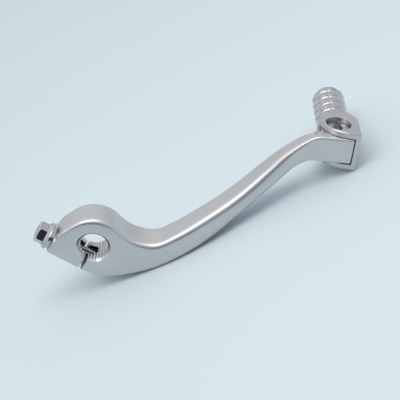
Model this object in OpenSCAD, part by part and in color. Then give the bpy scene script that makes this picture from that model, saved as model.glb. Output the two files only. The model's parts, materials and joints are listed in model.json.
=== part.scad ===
// Folding gear lever for a motorbike: a forged alloy arm that clamps on a serrated shaft,
// and a sprung toe peg that folds back at the arm's tip.
// The origin is on the shaft's axis at the middle of the hub. Y is that axis and points outboard,
// X runs along the arm to the tip, Z is up, and the lever stands on its lower edge.

/* [Hub] */
// Thickness of the hub along the shaft
hub_t = 14; // [12:0.5:18]
// Radius of the hub's round top
hub_r = 13.1; // [12:0.1:15]
// Distance from the shaft's axis to the hub's straight lower edge
hub_low = 12.9; // [12.5:0.1:15]
// Distance from the shaft's axis to the lower edge of the pinch bolt's seat
seat_low = 12.3; // [12.2:0.1:13.2]
// Distance from the shaft's axis to the pinch bolt's seat
seat_d = 15.5; // [14.5:0.1:19]
// Length of the flat seat under the pinch bolt's head
seat_w = 9.3; // [8.5:0.1:10]
// Drop of the seat's upper corner, which rounds it towards the hub's top
seat_round = 1.6; // [0.5:0.1:2.4]
// Tilt of the pinch bolt below the arm's direction
bolt_tilt = 55; // [45:1:65]
// Rounding of the hub's long edges
hub_edge = 2; // [1:0.1:3]

/* [Shaft bore] */
// Radius over the crests of the serrations
crest_r = 6; // [5.5:0.05:6.5]
// Depth of each serration
tooth_depth = 0.7; // [0.3:0.05:0.8]
// Number of serrations round the bore
teeth = 30; // [24:1:36]
// Share of the pitch that each groove takes
groove_share = 0.6; // [0.4:0.05:0.7]
// Chamfer at both mouths of the bore
bore_chamfer = 1.2; // [0.3:0.1:1.4]
// Width of the clamping slit
slit_w = 1.4; // [1:0.1:2.5]

/* [Pinch bolt] */
// Radius of the pinch bolt's thread
pinch_r = 2.5; // [2:0.1:2.8]
// Length of the pinch bolt under its head
pinch_len = 25; // [23:0.5:26]
// Width across the flats of its head
pinch_af = 8; // [7:0.5:9]
// Turn of its hexagon about the bolt
head_turn = -20; // [-30:5:30]
// Radius of its flange
flange_r = 5.8; // [5.4:0.1:6.2]
// Height of its whole head
pinch_head_h = 5.5; // [4.5:0.1:6.5]
// Radius of the washer under its head
pinch_washer_r = 5; // [4.6:0.1:5.3]
// Thickness of that washer
pinch_washer_t = 1; // [0.6:0.1:1.4]

/* [Arm] */
// Distance along X from the shaft's axis to the folding pivot
arm_reach = 105; // [98:0.5:125]
// Distance that the folding pivot lies outboard of the hub's middle
arm_offset = 17.3; // [13:0.1:23]
// Drop from the shaft's axis to the folding pivot
arm_drop = 8.5; // [6:0.5:12]
// Depth of the arm's belly below the shaft's axis
belly_depth = 21; // [20:0.5:23]
// Height of the arm just past the hub
neck_h = 10; // [9:0.1:11]
// Height of the arm halfway to the tip
mid_h = 7.8; // [6.5:0.1:9]
// Thickness of the arm halfway to the tip
mid_t = 13.6; // [11:0.1:14]
// Radius of the hollow over the neck
neck_r = 17.5; // [15:0.5:22]
// Sag of the arm's middle below a straight line
arm_sag = 2; // [1:0.1:3.5]
// Rounding of the arm's long edges
arm_edge = 3; // [2:0.1:3.2]

/* [Tongue] */
// Slope of the tongue and its knuckle below the arm's direction
tip_tilt = 31; // [25:1:37]
// Height of the tongue between the knuckle's plates
tongue_h = 11.3; // [11:0.1:13]
// Radius of the tongue round the folding pivot
tongue_r = 6.4; // [6.2:0.1:6.8]
// Distance from the folding pivot to the tongue's inboard face
tongue_near = 8.3; // [8:0.1:10]
// Thickness of the tongue beside the knuckle
tongue_t = 5.2; // [4.5:0.1:5.4]
// Rounding of the tongue's edges
tongue_edge = 1; // [0.5:0.1:1.4]
// Rounding of the arm's two end faces
end_edge = 0.6; // [0.3:0.1:0.9]

/* [Knuckle] */
// Angle through which the toe peg folds back
fold_angle = 40; // [20:1:42]
// Thickness of the knuckle's plates above and below the tongue
plate_t = 2.4; // [2:0.1:3]
// Half of the knuckle's width along the tongue
knuckle_r = 8; // [7.9:0.1:9]
// Distance that the knuckle's round back lies beyond the folding pivot
knuckle_back = 3.5; // [2:0.1:4.5]
// Radius of the long curve on the knuckle's inboard side
knuckle_sweep_r = 13; // [12:0.5:15]
// Distance that the tongue stands proud of the knuckle on the inboard side
knuckle_setback = 0.3; // [0.1:0.1:1]
// Chamfer round the knuckle's plates
plate_chamfer = 0.4; // [0.2:0.1:0.6]
// Gap between the tongue and the knuckle's plates
fold_clear = 0.3; // [0.2:0.05:0.4]

/* [Toe peg] */
// Radius of the toe peg over its ribs
peg_r = 6.95; // [6.5:0.05:7.5]
// Distance that the toe peg's axis lies beyond the folding pivot along the tongue
peg_shift = 0.5; // [0:0.1:0.8]
// Distance from the folding pivot to the end of the toe peg
peg_reach = 37; // [36:0.5:45]
// Distance from the folding pivot to the first groove
peg_first = 15.9; // [15:0.1:17]
// Distance from one groove to the next
rib_pitch = 5.45; // [4.6:0.05:5.6]
// Number of grooves round the toe peg
grooves = 4; // [2:1:4]
// Depth of the grooves
groove_depth = 0.9; // [0.5:0.1:1.2]
// Rounding of the toe peg's end
peg_edge = 2; // [1:0.1:3]
// Number of flutes along the toe peg
flutes = 8; // [6:1:10]
// Depth of the flutes
flute_depth = 0.7; // [0.4:0.1:1]
// Turn of the first flute from the folding pivot's direction towards the tongue's end
flute_turn = -14.5; // [-22:0.5:22]

/* [Folding pivot] */
// Radius of the pivot bolt's shank
pivot_r = 3; // [2.6:0.1:3.1]
// Radius of the pivot bolt's head
pivot_head_r = 4.9; // [4.6:0.1:5]
// Height of the pivot bolt's head
pivot_head_h = 2.6; // [2:0.1:2.8]
// Depth of the head below the upper plate's face
pivot_head_sink = 1.9; // [1:0.1:2]
// Width across the flats of its socket
pivot_socket = 4; // [3:0.5:5]
// Wall of the bush round the shank
bush_wall = 0.95; // [0.7:0.05:1]
// Thickness of the bush's flange
bush_flange_t = 1; // [0.8:0.1:1.4]
// Thickness of the return spring's wire
wire_d = 0.8; // [0.6:0.05:0.85]
// Number of turns in the return spring
spring_turns = 5; // [3:1:5]

/* [Hidden] */

// Clearances between the pieces
bolt_clear = 0.1;
thread_clear = 0.03;
run_clear = 0.05;
press_clear = 0.02;
head_clear = 0.35;
web_clear = 0.35;
coil_clear = 0.15;
stop_angle = 2;
over = 1;

// Step that keeps the tongue's round end just inside the arm's flat faces
seam = 0.05;

// Fineness of round shapes, and of the arm's curves
fine = 96;
medium = 48;
small = 24;
steps = 5;
corner_steps = 5;

// Colours of the metals
alloy = [0.68, 0.72, 0.76];
machined = [0.74, 0.75, 0.77];
plated = [0.78, 0.78, 0.8];
steel = [0.5, 0.51, 0.53];
bronze = [0.66, 0.55, 0.36];

// Places that follow from the sizes above
pinch_off = crest_r + pinch_r + run_clear;
pinch_start = -seat_d - pinch_washer_t;
pinch_end = pinch_start + pinch_len;
pocket_wall = 1.1;
pocket_shift = 0.95;
pocket_r = pinch_r + pocket_wall;
pocket_off = pinch_off - pocket_shift;
tap_spare = 1.5;
tap_depth = pinch_end + tap_spare;
plate_in = tongue_h / 2 + fold_clear;
plate_out = plate_in + plate_t;
knuckle_near = tongue_near - knuckle_setback;
knuckle_in = tongue_r + web_clear;
web_angle = 160;
relief_angle = web_angle + fold_angle + stop_angle;
pivot_head_top = plate_out - pivot_head_sink;
pivot_head_low = pivot_head_top - pivot_head_h;
bush_low = pivot_head_low - bush_flange_t;
bush_r = pivot_r + run_clear + bush_wall;
head_bore = pivot_head_r + head_clear;
coil_r = bush_r + coil_clear + wire_d / 2;
spring_pocket_r = coil_r + wire_d / 2 + coil_clear * 2;
coil_pitch = wire_d * 1.25;
coil_low = -tongue_h / 2 + wire_d;
coil_high = coil_low + spring_turns * coil_pitch;
spring_pocket_top = coil_high + wire_d;
leg_angle = 235;
leg_len = 2.4;
leg_spare = 0.4;
leg_hole_r = wire_d / 2 + coil_clear;
flute_r = 1.6;
groove_lift = 0.3;
rod_gap = 0.3;
shank_edge = 0.4;
head_edge = 0.5;
socket_depth = 2;

// Frame of the pinch bolt: Z runs along the bolt, X away from the shaft towards the slit
module in_hub() {
  rotate([0, 90 + bolt_tilt, 0]) children();
}

// Frame of the folding tip: X along the tongue, Y outboard, Z along the folding pivot
module in_tip() {
  translate([arm_reach, arm_offset, -arm_drop]) rotate([0, tip_tilt, 0]) children();
}

// A point given along the pinch bolt and square to it, in the X and Z of the lever
function hub_at(along, up) = [
  along * cos(bolt_tilt) + up * sin(bolt_tilt),
  -along * sin(bolt_tilt) + up * cos(bolt_tilt)
];

// A point on the hub's lower edge, which runs out from the seat to the slit
function low_at(along) = hub_at(along, -blend(seat_low, hub_low, min(1, 1 + along / seat_d)));

// A point given along the tongue and square to it, in the X and Z of the lever
function tip_at(along, up) = [
  arm_reach + along * cos(tip_tilt) + up * sin(tip_tilt),
  -arm_drop - along * sin(tip_tilt) + up * cos(tip_tilt)
];

// A point on a circle
function arc_at(angle, radius, centre = [0, 0]) = centre + radius * [cos(angle), sin(angle)];

// A share of the way from one value or point to another
function blend(a, b, share) = a + (b - a) * share;

// A gentle start and stop between 0 and 1
function ease(t) = t <= 0 ? 0 : t >= 1 ? 1 : t * t * (3 - 2 * t);

// The hollow over the neck is an arc that touches the hub's circle and the arm's upper edge
neck_top = neck_h - belly_depth;
neck_mid_z = neck_top + neck_r;
neck_mid = [sqrt(pow(hub_r + neck_r, 2) - pow(neck_mid_z, 2)), neck_mid_z];
neck_turn = atan2(neck_mid_z, neck_mid[0]);

// The belly is a curve from the hub's lower edge to the lowest point under the neck
belly_start = hub_at(seat_d / 3, -hub_low);
belly_end = [neck_mid[0] - 1, -belly_depth];
belly_corner = [belly_start[0] + (belly_start[1] + belly_depth) / tan(bolt_tilt), -belly_depth];
function belly_at(t) =
  pow(1 - t, 3) * belly_start
  + 3 * t * pow(1 - t, 2) * blend(belly_start, belly_corner, 0.62)
  + 3 * t * t * (1 - t) * blend(belly_end, belly_corner, 0.6)
  + pow(t, 3) * belly_end;

// The arm's middle line runs from the neck to the elbow with a slight sag
neck_step = [1.5, 0.85];
elbow_back = 11.7;
elbow_low = 0.9;
arm_start = [neck_mid[0], neck_top - neck_h / 2] + neck_step;
arm_end = tip_at(-tongue_r - elbow_back, -tongue_h / 2 - elbow_low);
function arm_middle(t) = blend(arm_start, arm_end, t) - [0, 4 * t * (1 - t) * arm_sag];
function arm_pair(t, height, lean) = [
  arm_middle(t) + height / 2 * [-sin(lean), cos(lean)],
  arm_middle(t) - height / 2 * [-sin(lean), cos(lean)]
];

// Inboard face of the arm, which moves outboard from the hub to the tongue
tongue_y = arm_offset - tongue_near;
bend_lead = 9.5;
rise_lean = 15;
bend_start = neck_mid[0] - bend_lead;
bend_end = tip_at(-tongue_r - 4, 0)[0];
function near_y(x) = blend(-hub_t / 2, tongue_y, ease((x - bend_start) / (bend_end - bend_start)));

// One section: upper and lower point, inboard and outboard face, edge rounding
function section(pair, thick, edge) = concat(
  pair[0], pair[1],
  [near_y((pair[0][0] + pair[1][0]) / 2), near_y((pair[0][0] + pair[1][0]) / 2) + thick, edge]
);

// A straight line from the seat's upper corner touches the hub's circle
seat_corner = hub_at(-seat_d, seat_w - seat_low);
crown_turn = atan2(seat_corner[1], seat_corner[0]) - acos(hub_r / norm(seat_corner));
crown = arc_at(crown_turn, hub_r);

// The arm's sections from the pinch bolt's seat to the end of the tongue
seat_in = end_edge - seat_d;
stations = [
  section([hub_at(seat_in, seat_w - seat_low - seat_round), low_at(seat_in)], hub_t, hub_edge),
  section([blend(seat_corner, crown, 0.35), low_at(3.3 - seat_d)], hub_t, hub_edge),
  section([blend(seat_corner, crown, 0.7), low_at(6.2 - seat_d)], hub_t, hub_edge),
  section([crown, low_at(-6.4)], hub_t, hub_edge),
  section([arc_at(blend(crown_turn, neck_turn, 0.2), hub_r), low_at(-4.2)], hub_t, hub_edge),
  section([arc_at(blend(crown_turn, neck_turn, 0.42), hub_r), low_at(-2)], hub_t, hub_edge),
  section([arc_at(blend(crown_turn, neck_turn, 0.62), hub_r), low_at(0.4)], hub_t, hub_edge),
  section([arc_at(blend(crown_turn, neck_turn, 0.81), hub_r), low_at(3)], hub_t, hub_edge),
  section([arc_at(neck_turn, hub_r), belly_at(0.18)], hub_t, hub_edge),
  section([arc_at(204, neck_r, neck_mid), belly_at(0.38)], hub_t, hub_edge),
  section([arc_at(224, neck_r, neck_mid), belly_at(0.6)], hub_t, hub_edge + 0.1),
  section([arc_at(246, neck_r, neck_mid), belly_at(0.8)], hub_t, hub_edge + 0.3),
  section(arm_pair(0, neck_h + 0.3, 0), hub_t, blend(hub_edge, arm_edge, 0.6)),
  section(arm_pair(0.24, blend(neck_h, mid_h, 0.15), 3), hub_t, arm_edge - 0.1),
  section(arm_pair(0.52, mid_h, 9), mid_t, arm_edge),
  section(arm_pair(0.82, mid_h - 0.2, rise_lean), blend(tongue_t, mid_t, 0.81), arm_edge - 0.2),
  section(arm_pair(1, mid_h - 0.1, 4), blend(tongue_t, mid_t, 0.48), arm_edge - 0.6),
  section(
    [tip_at(-tongue_r - 6.9, tongue_h / 2 - 2.9), tip_at(-tongue_r - 6.6, -tongue_h / 2 - 1.8)],
    blend(tongue_t, mid_t, 0.24), blend(tongue_edge, arm_edge, 0.4)
  ),
  section(
    [tip_at(-tongue_r - 3.2, tongue_h / 2 - 0.6), tip_at(-tongue_r - 3.6, -tongue_h / 2 - 0.05)],
    tongue_t, tongue_edge
  ),
  section(
    [tip_at(-tongue_r - 0.9, tongue_h / 2 - 0.05), tip_at(-tongue_r - 1.4, -tongue_h / 2)],
    tongue_t, tongue_edge
  ),
  section([tip_at(1.4 - tongue_r, tongue_h / 2), tip_at(1.4 - tongue_r, -tongue_h / 2)], tongue_t, tongue_edge),
  section([tip_at(tongue_r - end_edge, tongue_h / 2), tip_at(tongue_r - end_edge, -tongue_h / 2)],
    tongue_t, tongue_edge)
];
last = len(stations) - 1;

// Distance along the arm to each section, and the smooth curve through the sections
function middle_of(s) = [s[0] + s[2], s[1] + s[3]] / 2;
function reach_to(i) = i == 0 ? 0 : reach_to(i - 1) + norm(middle_of(stations[i]) - middle_of(stations[i - 1]));
knots = [for (i = [0:last]) reach_to(i)];
function rate(i) = (stations[i + 1] - stations[i]) / (knots[i + 1] - knots[i]);
function slope_at(i) =
  i == 0 ? rate(0)
  : i == last ? rate(last - 1)
  : (rate(i) * (knots[i] - knots[i - 1]) + rate(i - 1) * (knots[i + 1] - knots[i])) / (knots[i + 1] - knots[i - 1]);
function curve_at(i, t) =
  (2 * t * t * t - 3 * t * t + 1) * stations[i]
  + (t * t * t - 2 * t * t + t) * (knots[i + 1] - knots[i]) * slope_at(i)
  + (3 * t * t - 2 * t * t * t) * stations[i + 1]
  + (t * t * t - t * t) * (knots[i + 1] - knots[i]) * slope_at(i + 1);

// A section drawn in by the end's rounding and moved towards the end
function drawn_in(s, turn, dir) =
  let(
    inset = end_edge * (1 - sin(turn)),
    shift = end_edge * cos(turn) * dir,
    up = [s[0] - s[2], s[1] - s[3]] / norm([s[0] - s[2], s[1] - s[3]])
  )
  [
    s[0] - up[0] * inset + shift[0], s[1] - up[1] * inset + shift[1],
    s[2] + up[0] * inset + shift[0], s[3] + up[1] * inset + shift[1],
    s[4] + inset, s[5] - inset, s[6] - inset / 2
  ];
seat_dir = -hub_at(1, 0);
end_dir = tip_at(1, 0) - tip_at(0, 0);
sections = concat(
  [for (turn = [0:30:60]) drawn_in(stations[0], turn, seat_dir)],
  [for (i = [0:last - 1]) for (k = [0:steps - 1]) curve_at(i, k / steps)],
  [stations[last]],
  [for (turn = [60:-30:0]) drawn_in(stations[last], turn, end_dir)]
);

// The rounded outline of one section in space
function ring(s) =
  let(
    up_full = [s[0] - s[2], s[1] - s[3]],
    height = norm(up_full),
    up = up_full / height,
    mid = [s[0] + s[2], s[1] + s[3]] / 2,
    half = (s[5] - s[4]) / 2,
    edge = min(s[6], half * 0.9, height * 0.45)
  )
  [for (corner = [0:3]) for (k = [0:corner_steps])
    let(
      angle = 90 * (corner + k / corner_steps),
      side = (corner == 0 || corner == 3 ? 1 : -1) * (half - edge) + edge * cos(angle),
      rise = (corner < 2 ? 1 : -1) * (height / 2 - edge) + edge * sin(angle)
    )
    [mid[0] + up[0] * rise, (s[4] + s[5]) / 2 + side, mid[1] + up[1] * rise]
  ];

module arm_body() {
  rings = [for (s = sections) ring(s)];
  n = len(rings[0]);
  m = len(rings);
  points = [for (r = rings) each r];
  sides = [for (i = [0:m - 2]) for (k = [0:n - 1])
    let(a = i * n + k, b = i * n + (k + 1) % n, c = a + n, d = b + n)
    each [[a, c, b], [b, c, d]]
  ];
  first_cap = [for (k = [0:n - 1]) k];
  last_cap = [for (k = [n - 1:-1:0]) (m - 1) * n + k];
  polyhedron(points = points, faces = concat(sides, [first_cap, last_cap]));
}

// Round end of the tongue behind the folding pivot, with the relief that the knuckle folds into
module tongue_end() {
  linear_extrude(tongue_h - 2 * seam, center = true) {
    circle(r = tongue_r, $fn = fine);
    polygon([
      [0, 0],
      [0, -tongue_near + tongue_t - 1],
      [-tongue_r - 3.4, -tongue_near + tongue_t - 1],
      arc_at(relief_angle, tongue_r + 3.2),
      arc_at(relief_angle, tongue_r - 0.5)
    ]);
  }
}

module serrations() {
  pitch = 360 / teeth;
  half = pitch * groove_share / 2;
  root = [crest_r + tooth_depth, 0];
  for (i = [0:teeth - 1]) rotate([90, i * pitch, 0])
    linear_extrude(hub_t + 2 * over, center = true)
      polygon([root, blend(root, arc_at(half, crest_r), 2), blend(root, arc_at(-half, crest_r), 2)]);
}

module shaft_bore() {
  rotate([90, 0, 0]) cylinder(r = crest_r, h = hub_t + 2 * over, center = true, $fn = fine);
  serrations();
  for (side = [0, 180]) rotate([90 + side, 0, 0]) translate([0, 0, hub_t / 2 - bore_chamfer - over])
    cylinder(r1 = crest_r - over, r2 = crest_r + bore_chamfer + over, h = bore_chamfer + 2 * over, $fn = fine);
}

module pinch_cuts() {
  in_hub() {
    translate([pinch_off, 0, -seat_d - over])
      cylinder(r = pinch_r + bolt_clear, h = seat_d + over, $fn = medium);
    translate([pinch_off, 0, 0]) cylinder(r = pinch_r + thread_clear, h = tap_depth, $fn = medium);
    translate([pocket_off, 0, -crest_r * 0.7]) cylinder(r = pocket_r, h = crest_r * 1.4, $fn = medium);
    translate([0, -hub_t / 2 - over, -slit_w / 2]) cube([hub_low + 3 * over, hub_t + 2 * over, slit_w]);
  }
}

module pivot_cuts() {
  cylinder(r = bush_r + press_clear, h = tongue_h + 2 * over, center = true, $fn = fine);
  translate([0, 0, bush_low]) cylinder(r = head_bore, h = tongue_h, $fn = fine);
  translate([0, 0, -tongue_h / 2 - over])
    cylinder(r = spring_pocket_r, h = spring_pocket_top + tongue_h / 2 + over, $fn = fine);
  rotate([0, 0, leg_angle]) translate([coil_r, 0, coil_high]) rotate([0, 90, 0])
    cylinder(r = leg_hole_r, h = leg_len + leg_spare, $fn = small);
}

module lever_arm() {
  color(alloy) difference() {
    union() {
      arm_body();
      in_tip() tongue_end();
    }
    shaft_bore();
    pinch_cuts();
    in_tip() pivot_cuts();
  }
}

module pinch_bolt() {
  rim_t = 1;
  rim_edge = 0.3;
  cone_h = 1.2;
  tip_edge = 0.6;
  color(plated) in_hub() translate([pinch_off, 0, pinch_start]) {
    rotate_extrude($fn = fine) polygon([
      [0, -rim_t - cone_h],
      [pinch_af / 2, -rim_t - cone_h],
      [flange_r - rim_edge, -rim_t],
      [flange_r, -rim_t + rim_edge],
      [flange_r, 0],
      [pinch_r, 0],
      [pinch_r, pinch_len - tip_edge],
      [pinch_r - tip_edge, pinch_len],
      [0, pinch_len]
    ]);
    intersection() {
      translate([0, 0, -pinch_head_h]) rotate([0, 0, head_turn])
        cylinder(d = pinch_af / cos(30), h = pinch_head_h - rim_t, $fn = 6);
      translate([0, 0, -pinch_head_h])
        cylinder(r1 = pinch_af / 2 - 0.1, r2 = pinch_af / 2 + 3 * pinch_head_h, h = 2 * pinch_head_h, $fn = fine);
    }
  }
}

module pinch_washer() {
  color(steel) in_hub() translate([pinch_off, 0, pinch_start]) difference() {
    cylinder(r = pinch_washer_r, h = pinch_washer_t, $fn = fine);
    translate([0, 0, -over]) cylinder(r = pinch_r + bolt_clear, h = pinch_washer_t + 2 * over, $fn = medium);
  }
}

// Outline of the knuckle seen along the folding pivot, drawn in by a margin
module knuckle_outline(margin) {
  side = knuckle_r - margin;
  near = knuckle_near - margin;
  sweep = knuckle_sweep_r - margin;
  sweep_mid = [peg_shift - side + sweep, sweep - near];
  intersection() {
    union() {
      translate([peg_shift, knuckle_back]) circle(r = side, $fn = fine);
      translate([peg_shift - side, -near]) square([2 * side, near + knuckle_back]);
    }
    union() {
      translate(sweep_mid) circle(r = sweep, $fn = 2 * fine);
      translate([sweep_mid[0], -near]) square([side, 2 * sweep]);
      translate([-2 * side, min(sweep_mid[1], knuckle_back)]) square([4 * side, 2 * sweep]);
    }
  }
}

// One plate of the knuckle with its outer edge chamfered
module knuckle_plate() {
  translate([0, 0, plate_in]) linear_extrude(plate_t - plate_chamfer) knuckle_outline(0);
  translate([0, 0, plate_out - plate_chamfer]) linear_extrude(plate_chamfer / 2) knuckle_outline(plate_chamfer * 0.3);
  translate([0, 0, plate_out - plate_chamfer / 2]) linear_extrude(plate_chamfer / 2) knuckle_outline(plate_chamfer);
}

// Wall that joins the plates round the tongue's back and down its end
module knuckle_web() {
  linear_extrude(2 * plate_in, center = true) difference() {
    knuckle_outline(0);
    circle(r = knuckle_in, $fn = fine);
    translate([-2 * knuckle_r, -2 * knuckle_r]) square([2 * knuckle_r + knuckle_in, 2 * knuckle_r]);
    polygon([
      [0, 0],
      arc_at(web_angle, 3 * knuckle_r),
      [-3 * knuckle_r, -over]
    ]);
  }
}

// Half section of the toe peg: a rod with a rounded end and grooves that leave ribs
module peg_profile() {
  base = knuckle_in + rod_gap;
  difference() {
    union() {
      translate([0, base]) square([peg_r, peg_reach - base - peg_edge]);
      translate([0, base]) square([peg_r - peg_edge, peg_reach - base]);
      translate([peg_r - peg_edge, peg_reach - peg_edge]) circle(r = peg_edge, $fn = medium);
    }
    for (i = [0:grooves - 1]) translate([peg_r + groove_lift, peg_first + i * rib_pitch])
      circle(r = groove_depth + groove_lift, $fn = small);
  }
}

module toe_peg() {
  color(machined) in_tip() difference() {
    union() {
      knuckle_plate();
      mirror([0, 0, 1]) knuckle_plate();
      knuckle_web();
      translate([peg_shift, 0, 0]) rotate([-90, 0, 0]) rotate_extrude($fn = fine) peg_profile();
    }
    for (i = [0:flutes - 1]) translate([peg_shift, 0, 0]) rotate([0, flute_turn + i * 360 / flutes, 0])
      translate([0, peg_first, peg_r + flute_r - flute_depth]) rotate([-90, 0, 0])
        cylinder(r = flute_r, h = peg_reach, $fn = small);
    translate([0, 0, tongue_h / 2]) cylinder(r = head_bore, h = 2 * plate_t, $fn = fine);
    translate([0, 0, -plate_out - over]) cylinder(r = pivot_r + thread_clear, h = plate_t + 2 * over, $fn = fine);
    rotate([0, 0, leg_angle]) translate([coil_r, 0, -plate_out - over])
      cylinder(r = leg_hole_r, h = plate_t + 2 * over, $fn = small);
  }
}

module pivot_bolt() {
  color(plated) in_tip() difference() {
    rotate_extrude($fn = fine) polygon([
      [0, -plate_out],
      [pivot_r - shank_edge, -plate_out],
      [pivot_r, -plate_out + shank_edge],
      [pivot_r, pivot_head_low],
      [pivot_head_r, pivot_head_low],
      [pivot_head_r, pivot_head_top - head_edge],
      [pivot_head_r - head_edge, pivot_head_top],
      [0, pivot_head_top]
    ]);
    translate([0, 0, pivot_head_top - socket_depth])
      cylinder(d = pivot_socket / cos(30), h = socket_depth + over, $fn = 6);
  }
}

module pivot_bush() {
  color(bronze) in_tip() difference() {
    union() {
      translate([0, 0, -tongue_h / 2]) cylinder(r = bush_r, h = tongue_h / 2 + pivot_head_low, $fn = fine);
      translate([0, 0, bush_low]) cylinder(r = pivot_head_r, h = bush_flange_t, $fn = fine);
    }
    translate([0, 0, -tongue_h / 2 - over])
      cylinder(r = pivot_r + run_clear, h = tongue_h + pivot_head_low + 2 * over, $fn = fine);
  }
}

// Places along the spring's wire, each with its direction and the side that faces outward:
// a leg down into the lower plate, the coils, and a leg out into the tongue
function outward(angle) = [cos(angle), sin(angle), 0];
function around(angle) = [-sin(angle), cos(angle), 0];
coil_parts = 16;
wire_bend = 0.5;
wire_path = concat(
  [
    [coil_r * outward(leg_angle) - [0, 0, plate_out - leg_spare], [0, 0, 1], outward(leg_angle)],
    [coil_r * outward(leg_angle) + [0, 0, coil_low - wire_bend], [0, 0, 1], outward(leg_angle)]
  ],
  [for (i = [1:spring_turns * coil_parts - 1])
    let(angle = leg_angle + 360 * i / coil_parts)
    [coil_r * outward(angle) + [0, 0, coil_low + i * coil_pitch / coil_parts], around(angle), outward(angle)]
  ],
  [for (along = [wire_bend, leg_len])
    [(coil_r + along) * outward(leg_angle) + [0, 0, coil_high], outward(leg_angle), -around(leg_angle)]
  ]
);

module return_spring() {
  sides = 8;
  n = len(wire_path);
  points = [for (w = wire_path) for (k = [0:sides - 1])
    w[0] + wire_d / 2 * (w[2] * cos(360 * k / sides) + cross(w[1], w[2]) * sin(360 * k / sides))
  ];
  skin = [for (i = [0:n - 2]) for (k = [0:sides - 1])
    let(a = i * sides + k, b = i * sides + (k + 1) % sides, c = a + sides, d = b + sides)
    each [[a, c, b], [b, c, d]]
  ];
  caps = [[for (k = [0:sides - 1]) k], [for (k = [sides - 1:-1:0]) (n - 1) * sides + k]];
  color(steel) in_tip() polyhedron(points = points, faces = concat(skin, caps));
}

lever_arm();
pinch_bolt();
pinch_washer();
toe_peg();
pivot_bolt();
pivot_bush();
return_spring();
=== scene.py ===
import bpy
import bmesh
import json
import math
from mathutils import Matrix, Vector


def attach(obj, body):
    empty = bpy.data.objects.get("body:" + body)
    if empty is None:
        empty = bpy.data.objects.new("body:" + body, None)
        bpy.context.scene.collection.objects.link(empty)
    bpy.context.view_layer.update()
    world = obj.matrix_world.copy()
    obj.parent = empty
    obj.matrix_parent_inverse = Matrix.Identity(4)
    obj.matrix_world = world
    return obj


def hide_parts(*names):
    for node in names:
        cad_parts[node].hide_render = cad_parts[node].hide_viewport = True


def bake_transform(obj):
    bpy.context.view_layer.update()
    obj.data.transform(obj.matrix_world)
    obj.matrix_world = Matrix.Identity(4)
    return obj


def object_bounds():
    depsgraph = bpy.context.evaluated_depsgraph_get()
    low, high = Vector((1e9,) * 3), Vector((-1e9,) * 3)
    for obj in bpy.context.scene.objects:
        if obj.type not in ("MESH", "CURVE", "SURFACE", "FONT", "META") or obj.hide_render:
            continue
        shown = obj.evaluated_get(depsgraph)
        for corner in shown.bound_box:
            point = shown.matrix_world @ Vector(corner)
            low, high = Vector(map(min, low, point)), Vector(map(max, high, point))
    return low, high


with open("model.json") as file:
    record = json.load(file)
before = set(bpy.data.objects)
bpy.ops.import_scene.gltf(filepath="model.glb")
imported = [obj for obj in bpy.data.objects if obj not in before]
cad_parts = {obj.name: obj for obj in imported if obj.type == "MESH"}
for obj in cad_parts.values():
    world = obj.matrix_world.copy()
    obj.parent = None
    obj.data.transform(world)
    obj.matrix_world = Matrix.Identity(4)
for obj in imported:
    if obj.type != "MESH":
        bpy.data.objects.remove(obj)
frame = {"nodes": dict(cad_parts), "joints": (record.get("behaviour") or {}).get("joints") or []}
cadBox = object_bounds()
nodes = frame["nodes"]
mm = 0.001

# the toe peg folds about this pivot
fold = frame["joints"][0]
pivot = Vector(fold["pos_m"])

# the pinch bolt runs 55 degrees down from the arm's direction, and the slit is square to it
pinchTilt = math.radians(55.0)
alongBolt = Vector((math.cos(pinchTilt), 0, -math.sin(pinchTilt)))
downSlit = Vector((-math.sin(pinchTilt), 0, -math.cos(pinchTilt)))


# sRGB hex to the linear values that the shaders use
def toLinear(hexColour):
    parts = [int(hexColour[i:i + 2], 16) / 255 for i in (1, 3, 5)]
    return tuple(c / 12.92 if c <= 0.04045 else ((c + 0.055) / 1.055) ** 2.4 for c in parts) + (1.0,)


# adds a node with its settings, and links or sets its inputs by name or number
def addNode(tree, kind, inputs=(), **settings):
    node = tree.nodes.new(kind)
    for name, value in settings.items():
        setattr(node, name, value)
    for name, value in dict(inputs).items():
        if isinstance(value, bpy.types.NodeSocket):
            tree.links.new(value, node.inputs[name])
        else:
            node.inputs[name].default_value = value
    return node


def newMaterial(name):
    material = bpy.data.materials.new(name)
    material.use_nodes = True
    material.node_tree.nodes.clear()
    return material, material.node_tree


def setMaterial(piece, material):
    piece.data.materials.clear()
    piece.data.materials.append(material)


# a colour that drifts between two close tones, in patches of a real size, and the noise behind it
def mottled(tree, place, look):
    noise = addNode(tree, "ShaderNodeTexNoise", {
        "Vector": place, "Scale": 1 / (look["patch"] * mm), "Detail": look["detail"],
    })
    mixed = addNode(tree, "ShaderNodeMix", {
        "Factor": noise.outputs["Fac"], "A": toLinear(look["colour"]), "B": toLinear(look["shade"]),
    }, data_type="RGBA")
    return mixed.outputs["Result"], noise.outputs["Fac"]


# what every metal here ends with: edges broken by a real radius, a fine relief and the metal shader
def finishMetal(tree, look, colour, roughness, relief):
    brokenEdge = addNode(tree, "ShaderNodeBevel", {"Radius": look["edge"] * mm}, samples=6)
    bump = addNode(tree, "ShaderNodeBump", {
        "Height": relief, "Normal": brokenEdge.outputs["Normal"], "Strength": look["relief"],
        "Distance": look["depth"] * mm,
    })
    shader = addNode(tree, "ShaderNodeBsdfPrincipled", {
        "Base Color": colour, "Metallic": 1.0, "Roughness": roughness, "Normal": bump.outputs["Normal"],
    })
    addNode(tree, "ShaderNodeOutputMaterial", {"Surface": shader.outputs["BSDF"]})


print("materials")

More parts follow.
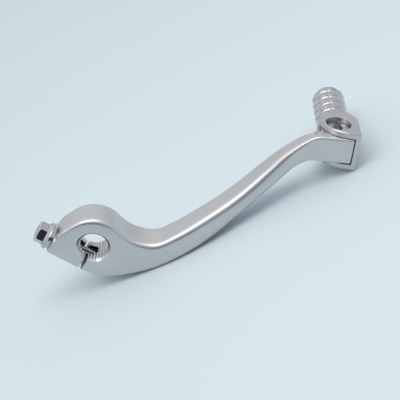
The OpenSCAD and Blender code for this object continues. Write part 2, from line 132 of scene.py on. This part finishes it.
# shot-blasted forged aluminium: a soft grey satin, very fine even grain, broad blurred highlights
blastedAlloy = {
    "name": "blastedAlloy", "colour": "#D5D5D6", "shade": "#CBCBCD", "patch": 9.0, "detail": 3.0,
    "roughness": 0.42, "boreRoughness": 0.22, "boreReach": 7.3, "boreFade": 0.2,
    # the next line sets the painted shade in the pinch slit: its dark colour, half its width and where
    # it starts past the bore
    "slitShade": "#5C5D61", "slitShadeHalf": 0.74, "slitShadeFrom": 6.3,
    "grit": 0.35, "gritDetail": 2.0, "relief": 0.6, "depth": 0.006, "edge": 0.22,
}


def makeBlastedAlloy(look):
    material, tree = newMaterial(look["name"])
    place = addNode(tree, "ShaderNodeTexCoord").outputs["Object"]
    colour = mottled(tree, place, look)[0]
    # painted shade: the slit's walls past the bore are painted dark, for the shade deep in the narrow
    # slit
    across = addNode(tree, "ShaderNodeVectorMath", {
        0: place, 1: tuple(alongBolt),
    }, operation="DOT_PRODUCT")
    down = addNode(tree, "ShaderNodeVectorMath", {
        0: place, 1: tuple(downSlit),
    }, operation="DOT_PRODUCT")
    fromMiddle = addNode(tree, "ShaderNodeMath", {0: across.outputs["Value"]}, operation="ABSOLUTE")
    inSlit = addNode(tree, "ShaderNodeMath", {
        0: fromMiddle.outputs["Value"], 1: look["slitShadeHalf"] * mm,
    }, operation="LESS_THAN")
    pastBore = addNode(tree, "ShaderNodeMath", {
        0: down.outputs["Value"], 1: look["slitShadeFrom"] * mm,
    }, operation="GREATER_THAN")
    slitShade = addNode(tree, "ShaderNodeMath", {
        0: inSlit.outputs["Value"], 1: pastBore.outputs["Value"],
    }, operation="MULTIPLY")
    skin = addNode(tree, "ShaderNodeMix", {
        "Factor": slitShade.outputs["Value"], "A": colour, "B": toLinear(look["slitShade"]),
    }, data_type="RGBA")
    # the broached bore is smoother than the blasted skin
    inPlane = addNode(tree, "ShaderNodeVectorMath", {0: place, 1: (1.0, 0.0, 1.0)}, operation="MULTIPLY")
    fromShaft = addNode(tree, "ShaderNodeVectorMath", {0: inPlane.outputs["Vector"]}, operation="LENGTH")
    roughness = addNode(tree, "ShaderNodeMapRange", {
        "Value": fromShaft.outputs["Value"],
        "From Min": look["boreReach"] * mm, "From Max": (look["boreReach"] + look["boreFade"]) * mm,
        "To Min": look["boreRoughness"], "To Max": look["roughness"],
    })
    # blasting grit leaves dimples of about a third of a millimetre
    grit = addNode(tree, "ShaderNodeTexNoise", {
        "Vector": place, "Scale": 1 / (look["grit"] * mm), "Detail": look["gritDetail"],
    })
    finishMetal(tree, look, skin.outputs["Result"], roughness.outputs["Result"], grit.outputs["Fac"])
    return material


# turned aluminium: brighter and glossier than the arm, with fine tool rings round the peg
# and a satin knuckle
turnedAlloy = {
    "name": "turnedAlloy", "colour": "#CECDCF", "shade": "#C2C1C5", "patch": 6.0, "detail": 3.0,
    "knuckleRoughness": 0.34, "pegRoughness": 0.15, "pegStart": 9.0, "pegFull": 13.0,
    "ring": 0.276, "wobble": 0.6, "ringDetail": 1.0, "wobbleScale": 1.5,
    "relief": 0.4, "depth": 0.004, "edge": 0.45,
}


def makeTurnedAlloy(look):
    material, tree = newMaterial(look["name"])
    place = addNode(tree, "ShaderNodeTexCoord").outputs["Object"]
    colour = mottled(tree, place, look)[0]
    fromPivot = addNode(tree, "ShaderNodeMapping", {
        "Vector": place, "Location": pivot,
    }, vector_type="TEXTURE")
    reach = addNode(tree, "ShaderNodeSeparateXYZ", {"Vector": fromPivot.outputs["Vector"]})
    # the peg is glossier than the milled knuckle
    roughness = addNode(tree, "ShaderNodeMapRange", {
        "Value": reach.outputs["Y"], "From Min": look["pegStart"] * mm, "From Max": look["pegFull"] * mm,
        "To Min": look["knuckleRoughness"], "To Max": look["pegRoughness"],
    })
    # tool rings run round the peg's axis, which lies along Y, one for each pi / 10 over the wave's scale
    rings = addNode(tree, "ShaderNodeTexWave", {
        "Vector": fromPivot.outputs["Vector"], "Scale": math.pi / 10 / (look["ring"] * mm),
        "Distortion": look["wobble"], "Detail": look["ringDetail"], "Detail Scale": look["wobbleScale"],
    }, wave_type="BANDS", bands_direction="Y")
    finishMetal(tree, look, colour, roughness.outputs["Result"], rings.outputs["Fac"])
    return material


# bright zinc plating on steel: a hard mirror gloss over a neutral grey
brightZinc = {
    "name": "brightZinc", "colour": "#CBCDD1", "shade": "#B9BBC0", "patch": 1.2, "detail": 4.0,
    "roughness": 0.1, "relief": 0.4, "depth": 0.003, "edge": 0.12,
}

# turned bronze: a warm brown half gloss with fine tool marks
turnedBronze = {
    "name": "turnedBronze", "colour": "#B08D57", "shade": "#9C7A48", "patch": 0.6, "detail": 4.0,
    "roughness": 0.3, "relief": 0.4, "depth": 0.004, "edge": 0.12,
}

# drawn spring steel: a darker grey with a soft gloss and faint die marks
drawnSteel = {
    "name": "drawnSteel", "colour": "#9A9CA1", "shade": "#85878C", "patch": 0.5, "detail": 4.0,
    "roughness": 0.25, "relief": 0.4, "depth": 0.003, "edge": 0.12,
}


def makePlainMetal(look):
    material, tree = newMaterial(look["name"])
    place = addNode(tree, "ShaderNodeTexCoord").outputs["Object"]
    colour, marks = mottled(tree, place, look)
    finishMetal(tree, look, colour, look["roughness"], marks)
    return material


alloySkin = makeBlastedAlloy(blastedAlloy)
alloyTurned = makeTurnedAlloy(turnedAlloy)
zinc = makePlainMetal(brightZinc)
bronze = makePlainMetal(turnedBronze)
steel = makePlainMetal(drawnSteel)


# smooth shading all over, with only the edges past the given angle, in degrees, left sharp
def shadeSmooth(work, sharpAngle):
    for face in work.faces:
        face.smooth = True
    for edge in work.edges:
        edge.smooth = len(edge.link_faces) == 2 and edge.calc_face_angle(0.0) < math.radians(sharpAngle)


def linkPiece(name, mesh, material):
    piece = bpy.data.objects.new(name, mesh)
    bpy.context.scene.collection.objects.link(piece)
    setMaterial(piece, material)
    return piece


# how a solid's mesh is cleaned: points closer than weld become one, and thinner slivers go
cleaning = {"weld": 0.002, "sliver": 0.001, "flatWeight": 50}


# a piece that takes its form from a part's mesh, with the seams closed
def smoothCopy(node, name, material, sharpAngle):
    mesh = nodes[node].data.copy()
    work = bmesh.new()
    work.from_mesh(mesh)
    bmesh.ops.remove_doubles(work, verts=work.verts, dist=cleaning["weld"] * mm)
    bmesh.ops.dissolve_degenerate(work, edges=work.edges, dist=cleaning["sliver"] * mm)
    shadeSmooth(work, sharpAngle)
    work.to_mesh(mesh)
    work.free()
    if mesh.attributes.get("custom_normal"):
        mesh.attributes.remove(mesh.attributes["custom_normal"])
    piece = linkPiece(name, mesh, material)
    weighted = piece.modifiers.new("weighted", "WEIGHTED_NORMAL")
    weighted.keep_sharp = True
    weighted.weight = cleaning["flatWeight"]
    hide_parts(node)
    return piece


print("arm and toe peg")
bodyEdge = 32  # degrees, past which an edge is sharp
arm = smoothCopy("lever_arm", "forged_arm", alloySkin, bodyEdge)
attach(arm, "lever")
peg = smoothCopy("toe_peg", "turned_peg", alloyTurned, bodyEdge)
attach(peg, "tip")

print("return spring")
# the coil winds up between its lower leg in the knuckle and its upper leg in the tongue;
# low and high are the coil's ends along the pivot's axis
springCoil = {"sharpAngle": 60, "low": -4.85, "high": 0.15}
spring = smoothCopy("return_spring", "spring_wire", steel, springCoil["sharpAngle"])
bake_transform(spring)

print("pinch bolt")
# flanged M5 bolt with a rolled thread, in millimetres along its own line: the flange sits at 0,
# the head is below it and the thread above. dish holds pairs of radius and depth under the top,
# flangeOutline pairs of inset and height. The thread's depth, crest and flank are shares of the pitch
pinchBolt = {
    "offAxis": 8.55, "seat": 16.5, "length": 25.0, "sides": 72, "sharpAngle": 28, "endHole": 0.05,
    "flats": 8.0, "turn": -10.0, "head": 5.5,
    "dish": ((0.05, 0.35), (2.2, 0.3), (2.7, 0.05), (3.0, 0.0)),
    "chamferParts": 9, "chamferIn": 0.25, "chamferOut": 0.14, "chamferDown": 0.07,
    "cone": 1.2, "coneLead": 0.25, "coneStep": 0.45, "coneDrop": 0.05,
    "flange": 11.6, "rim": 1.0,
    "flangeOutline": ((0.35, -1.0), (0.12, -0.9), (0.0, -0.7), (0.0, -0.15), (0.15, 0.0)),
    "thread": 5.0, "pitch": 0.8, "partsPerTurn": 9, "threadStart": 2.0, "runIn": 1.0, "endTaper": 0.7,
    "threadDepth": 0.54, "crestHalf": 0.06, "flank": 0.36,
}


def clamp(value):
    return max(0.0, min(1.0, value))


# rings of radius and height from the dished top to the flange's seat
def headRings(look):
    sides = look["sides"]
    flat = look["flats"] / 2
    corner = math.pi / 6
    turn = math.radians(look["turn"])
    hexagon = []
    for k in range(sides):
        angle = 2 * math.pi * k / sides + turn
        hexagon.append(flat / math.cos((angle + corner) % (2 * corner) - corner))
    top = -look["head"]
    rings = [[(radius, top + height)] * sides for radius, height in look["dish"]]
    for part in range(look["chamferParts"]):
        limit = flat - look["chamferIn"] + part * look["chamferOut"]
        rings.append([(min(limit, reach), top + part * look["chamferDown"]) for reach in hexagon])
    low = -look["rim"] - look["cone"]
    rings.append([(reach, low + look["coneLead"]) for reach in hexagon])
    rings.append([(max(reach, flat + look["coneStep"]), low + look["coneDrop"]) for reach in hexagon])
    for inset, height in look["flangeOutline"]:
        rings.append([(look["flange"] / 2 - inset, height)] * sides)
    return rings


# rings up the shank, with a groove that winds round once for each pitch
def threadRings(look):
    sides = look["sides"]
    outer = look["thread"] / 2
    depth = look["threadDepth"] * look["pitch"]
    steps = int(look["length"] / look["pitch"] * look["partsPerTurn"])
    rings = [[(outer, 0.0)] * sides]
    for step in range(1, steps + 1):
        height = look["length"] * step / steps
        runIn = clamp((height - look["threadStart"]) / look["runIn"])
        taper = max(0.0, height - look["length"] + look["endTaper"])
        ring = []
        for k in range(sides):
            phase = (height / look["pitch"] - k / sides) % 1.0
            groove = clamp((abs(phase - 0.5) - look["crestHalf"]) / look["flank"])
            ring.append((min(outer - depth * groove * runIn, outer - taper), height))
        rings.append(ring)
    rings.append([(look["endHole"], look["length"])] * sides)
    return rings


def makePinchBolt(look):
    sides = look["sides"]
    rings = headRings(look) + threadRings(look)
    sideways = alongBolt.cross(downSlit)
    start = downSlit * look["offAxis"] - alongBolt * look["seat"]
    verts = []
    for ring in rings:
        for k, (radius, height) in enumerate(ring):
            angle = 2 * math.pi * k / sides
            outward = downSlit * math.cos(angle) + sideways * math.sin(angle)
            verts.append((start + alongBolt * height + outward * radius) * mm)
    faces = []
    for i in range(len(rings) - 1):
        for k in range(sides):
            a, b = i * sides + k, i * sides + (k + 1) % sides
            faces.append((a, b, b + sides, a + sides))
    faces.append(tuple(reversed(range(sides))))
    faces.append(tuple(range((len(rings) - 1) * sides, len(rings) * sides)))
    mesh = bpy.data.meshes.new("pinch_bolt_threaded")
    mesh.from_pydata(verts, [], faces)
    work = bmesh.new()
    work.from_mesh(mesh)
    bmesh.ops.recalc_face_normals(work, faces=work.faces)
    shadeSmooth(work, look["sharpAngle"])
    work.to_mesh(mesh)
    work.free()
    return linkPiece("pinch_bolt_threaded", mesh, zinc)


threadedBolt = makePinchBolt(pinchBolt)
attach(threadedBolt, "lever")
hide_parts("pinch_bolt")

print("small parts")
setMaterial(nodes["pinch_washer"], zinc)
setMaterial(nodes["pivot_bolt"], zinc)
setMaterial(nodes["pivot_bush"], bronze)

print("floor")
# a pale blue paper floor, matt and even; painted reflection: in front of the lever the paper is painted
# dark for mirror rays only, so metal that mirrors it sees a dark room
bluePaper = {
    "name": "paleBluePaper", "colour": "#D5E1E8", "shade": "#D1DEE6", "patch": 166.7, "detail": 1.0,
    # the next line sets the painted reflection: its dark colour and where it fades in towards the front
    "beyond": "#1E2023", "mirrorDarkFrom": -0.12, "mirrorDarkTo": -0.2,
    "roughness": 0.9, "specular": 0.2, "size": 8.0,
}


def makeBluePaper(look):
    material, tree = newMaterial(look["name"])
    place = addNode(tree, "ShaderNodeTexCoord").outputs["Object"]
    colour = mottled(tree, place, look)[0]
    split = addNode(tree, "ShaderNodeSeparateXYZ", {"Vector": place})
    # painted reflection: mirror rays see the paper dark in front of the lever
    beyond = addNode(tree, "ShaderNodeMapRange", {
        "Value": split.outputs["Y"], "From Min": look["mirrorDarkFrom"], "From Max": look["mirrorDarkTo"],
    }, interpolation_type="SMOOTHSTEP")
    mirrored = addNode(tree, "ShaderNodeMath", {
        0: beyond.outputs["Result"], 1: addNode(tree, "ShaderNodeLightPath").outputs["Is Glossy Ray"],
    }, operation="MULTIPLY")
    paper = addNode(tree, "ShaderNodeMix", {
        "Factor": mirrored.outputs["Value"], "A": colour, "B": toLinear(look["beyond"]),
    }, data_type="RGBA")
    shader = addNode(tree, "ShaderNodeBsdfPrincipled", {
        "Base Color": paper.outputs["Result"], "Roughness": look["roughness"],
        "Specular IOR Level": look["specular"],
    })
    addNode(tree, "ShaderNodeOutputMaterial", {"Surface": shader.outputs["BSDF"]})
    return material


def addFloor(look):
    half = look["size"] / 2
    mesh = bpy.data.meshes.new("paper_floor")
    corners = [(-half, -half, 0), (half, -half, 0), (half, half, 0), (-half, half, 0)]
    mesh.from_pydata(corners, [], [(0, 1, 2, 3)])
    floor = linkPiece("paper_floor", mesh, makeBluePaper(look))
    floor.location = (0, 0, cadBox[0].z)


addFloor(bluePaper)

print("room and lamp")
# a pale room with a dark patch low down in front, which the arm's near face mirrors
room = {
    "zenith": "#EFF4F6", "horizon": "#CDCED2", "front": "#121316", "strength": 0.96,
    "riseTo": 0.9, "frontTo": (0.0, -0.995, 0.1), "darkFrom": 0.72, "darkFull": 0.96,
}


def makeRoom(look):
    world = bpy.data.worlds.new("room")
    bpy.context.scene.world = world
    world.use_nodes = True
    tree = world.node_tree
    tree.nodes.clear()
    direction = addNode(tree, "ShaderNodeTexCoord").outputs["Generated"]
    split = addNode(tree, "ShaderNodeSeparateXYZ", {"Vector": direction})
    rise = addNode(tree, "ShaderNodeMapRange", {
        "Value": split.outputs["Z"], "From Min": 0.0, "From Max": look["riseTo"],
    }, interpolation_type="SMOOTHSTEP")
    sky = addNode(tree, "ShaderNodeMix", {
        "Factor": rise.outputs["Result"], "A": toLinear(look["horizon"]), "B": toLinear(look["zenith"]),
    }, data_type="RGBA")
    facing = addNode(tree, "ShaderNodeVectorMath", {
        0: direction, 1: look["frontTo"],
    }, operation="DOT_PRODUCT")
    dark = addNode(tree, "ShaderNodeMapRange", {
        "Value": facing.outputs["Value"], "From Min": look["darkFrom"], "From Max": look["darkFull"],
    }, interpolation_type="SMOOTHSTEP")
    wall = addNode(tree, "ShaderNodeMix", {
        "Factor": dark.outputs["Result"], "A": sky.outputs["Result"], "B": toLinear(look["front"]),
    }, data_type="RGBA")
    glow = addNode(tree, "ShaderNodeBackground", {
        "Color": wall.outputs["Result"], "Strength": look["strength"],
    })
    addNode(tree, "ShaderNodeOutputWorld", {"Surface": glow.outputs["Background"]})


makeRoom(room)

# one large soft box overhead, in metres and watts
overheadBox = {
    "place": (0.16, -0.2, 0.85), "aim": (0.06, 0.0, 0.0), "size": (1.0, 0.42),
    "power": 3.2, "colour": "#FFF7F2",
}


def addSoftBox(name, look):
    lamp = bpy.data.lights.new(name, "AREA")
    lamp.shape = "RECTANGLE"
    lamp.size, lamp.size_y = look["size"]
    lamp.energy = look["power"]
    lamp.color = toLinear(look["colour"])[:3]
    holder = bpy.data.objects.new(name, lamp)
    holder.location = look["place"]
    holder.rotation_mode = "QUATERNION"
    holder.rotation_quaternion = (Vector(look["aim"]) - Vector(look["place"])).to_track_quat("-Z", "Y")
    bpy.context.scene.collection.objects.link(holder)


addSoftBox("overhead_box", overheadBox)

print("camera")
# the lens sees the lever from its inboard side, a little above, with the arm rising to the right;
# place is in millimetres, and right, up and back are the camera's axes
view = {
    "place": (151.9, -392.4, 225.8), "right": (0.9085, 0.0, -0.4179), "up": (0.3525, 0.5373, 0.7662),
    "back": (0.2245, -0.8434, 0.4881), "lens": 103.5, "film": 36, "clip": (0.01, 20),
}


def addCamera(look):
    lens = bpy.data.cameras.new("view")
    lens.lens = look["lens"]
    lens.sensor_width = look["film"]
    lens.clip_start, lens.clip_end = look["clip"]
    camera = bpy.data.objects.new("view", lens)
    axes = Matrix([look["right"], look["up"], look["back"]]).transposed().to_4x4()
    camera.matrix_world = Matrix.Translation(Vector(look["place"]) * mm) @ axes
    bpy.context.scene.collection.objects.link(camera)
    bpy.context.scene.camera = camera


addCamera(view)
bpy.context.scene.view_settings.view_transform = "Standard"
